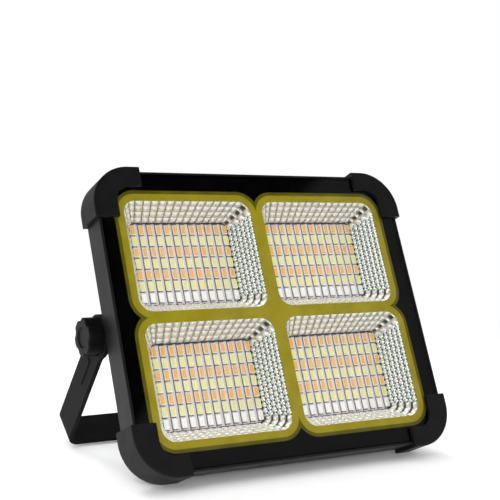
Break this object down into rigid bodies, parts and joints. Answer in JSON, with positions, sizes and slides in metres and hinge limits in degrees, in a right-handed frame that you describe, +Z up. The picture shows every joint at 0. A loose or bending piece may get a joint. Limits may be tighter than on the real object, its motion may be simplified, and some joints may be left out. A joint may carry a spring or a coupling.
{
  "type": "solar flood light",
  "caption": "Rechargeable solar flood light: framed glass face over faceted reflector cups and LED boards, rear solar panel, corner bumpers, folding U bracket with clamp knobs.",
  "frame": {"origin": "centre of the footprint, on the surface that the light stands on", "axes": "+X to the right of someone facing the lit side, +Y towards the back, +Z up"},
  "size_m": [0.256, 0.14, 0.1912],
  "materials": {
    "black_abs": "fine moulded texture",
    "bumper_rubber": "matt, faint mould texture",
    "tempered_glass": "polished",
    "seal_silicone": "matt",
    "print_black": "screen print behind glass",
    "print_olive": "screen print behind glass",
    "print_yellow": "screen print behind glass",
    "mirror_plating": "vacuum plated",
    "board_white": "white solder mask",
    "led_warm": "phosphor gel",
    "led_yellow": "phosphor gel",
    "led_white": "clear gel",
    "aluminium_sheet": "rolled",
    "cell_wrap": "shrink wrap",
    "tray_abs": "moulded",
    "board_green": "green solder mask",
    "nickel_steel": "nickel plated",
    "switch_black": "moulded",
    "backsheet_white": "matt film",
    "silicon_cell": "polycrystalline silicon",
    "solar_laminate": "clear laminate",
    "lens_clear": "clear",
    "screw_steel": "black zinc",
    "brass_insert": "knurled",
    "washer_nylon": "moulded",
    "flap_rubber": "matt",
    "button_rubber": "matt",
    "knob_plastic": "fine moulded texture",
    "stud_steel": "zinc plated",
    "painted_steel": "black powder coat"
  },
  "bodies": {
    "head": {"front_frame": "black_abs", "rear_cover": "black_abs", "cover_seal": "seal_silicone", "front_glass": "tempered_glass", "glass_gasket": "seal_silicone", "border_print_black": "print_black", "outline_print_olive": "print_olive", "window_print_yellow": "print_yellow", "corner_bumper_top_left": "bumper_rubber", "reflector_top_left": "mirror_plating", "led_board_top_left": "board_white", "corner_bumper_top_right": "bumper_rubber", "reflector_top_right": "mirror_plating", "led_board_top_right": "board_white", "corner_bumper_bottom_left": "bumper_rubber", "reflector_bottom_left": "mirror_plating", "led_board_bottom_left": "board_white", "corner_bumper_bottom_right": "bumper_rubber", "reflector_bottom_right": "mirror_plating", "led_board_bottom_right": "board_white", "leds_warm": "led_warm", "leds_yellow": "led_yellow", "leds_white": "led_white", "heat_plate": "aluminium_sheet", "plate_screws": "screw_steel", "battery_cells": "cell_wrap", "battery_tray": "tray_abs", "control_board": "board_green", "usb_a_socket": "nickel_steel", "type_c_socket": "nickel_steel", "switch_board": "board_green", "tact_switch": "switch_black", "solar_backsheet": "backsheet_white", "solar_cells": "silicon_cell", "solar_laminate": "solar_laminate", "charge_lenses": "lens_clear", "cover_screws": "screw_steel", "bumper_screws": "screw_steel", "pivot_inserts": "brass_insert", "friction_washers": "washer_nylon", "flap_pin": "nickel_steel"},
    "stand": {"stand": "painted_steel"},
    "knob_left": {"knob_left": "knob_plastic", "knob_stud_left": "stud_steel"},
    "knob_right": {"knob_right": "knob_plastic", "knob_stud_right": "stud_steel"},
    "power_button": {"power_button": "button_rubber"},
    "port_flap": {"port_flap": "flap_rubber"}
  },
  "joints": [
    {"name": "stand_hinge", "type": "hinge", "parent": "head", "child": "stand", "pos_m": [0, 0.00769, 0.08312], "axis": [1, 0, 0], "range_deg": [-61.72, 118.28]},
    {"name": "knob_left_turn", "type": "hinge", "parent": "head", "child": "knob_left", "pos_m": [-0.12275, 0.00769, 0.08312], "axis": [-1, 0, 0], "range_deg": [0, 360]},
    {"name": "knob_right_turn", "type": "hinge", "parent": "head", "child": "knob_right", "pos_m": [0.12275, 0.00769, 0.08312], "axis": [1, 0, 0], "range_deg": [0, 360]},
    {"name": "power_button_press", "type": "slide", "parent": "head", "child": "power_button", "axis": [0, -0.891, 0.454], "range_m": [0, 0.0012], "stiffness_N_per_m": 1500},
    {"name": "port_flap_hinge", "type": "hinge", "parent": "head", "child": "port_flap", "pos_m": [0.056, 0.05284, 0.15653], "axis": [-1, 0, 0], "range_deg": [0, 170]}
  ]
}
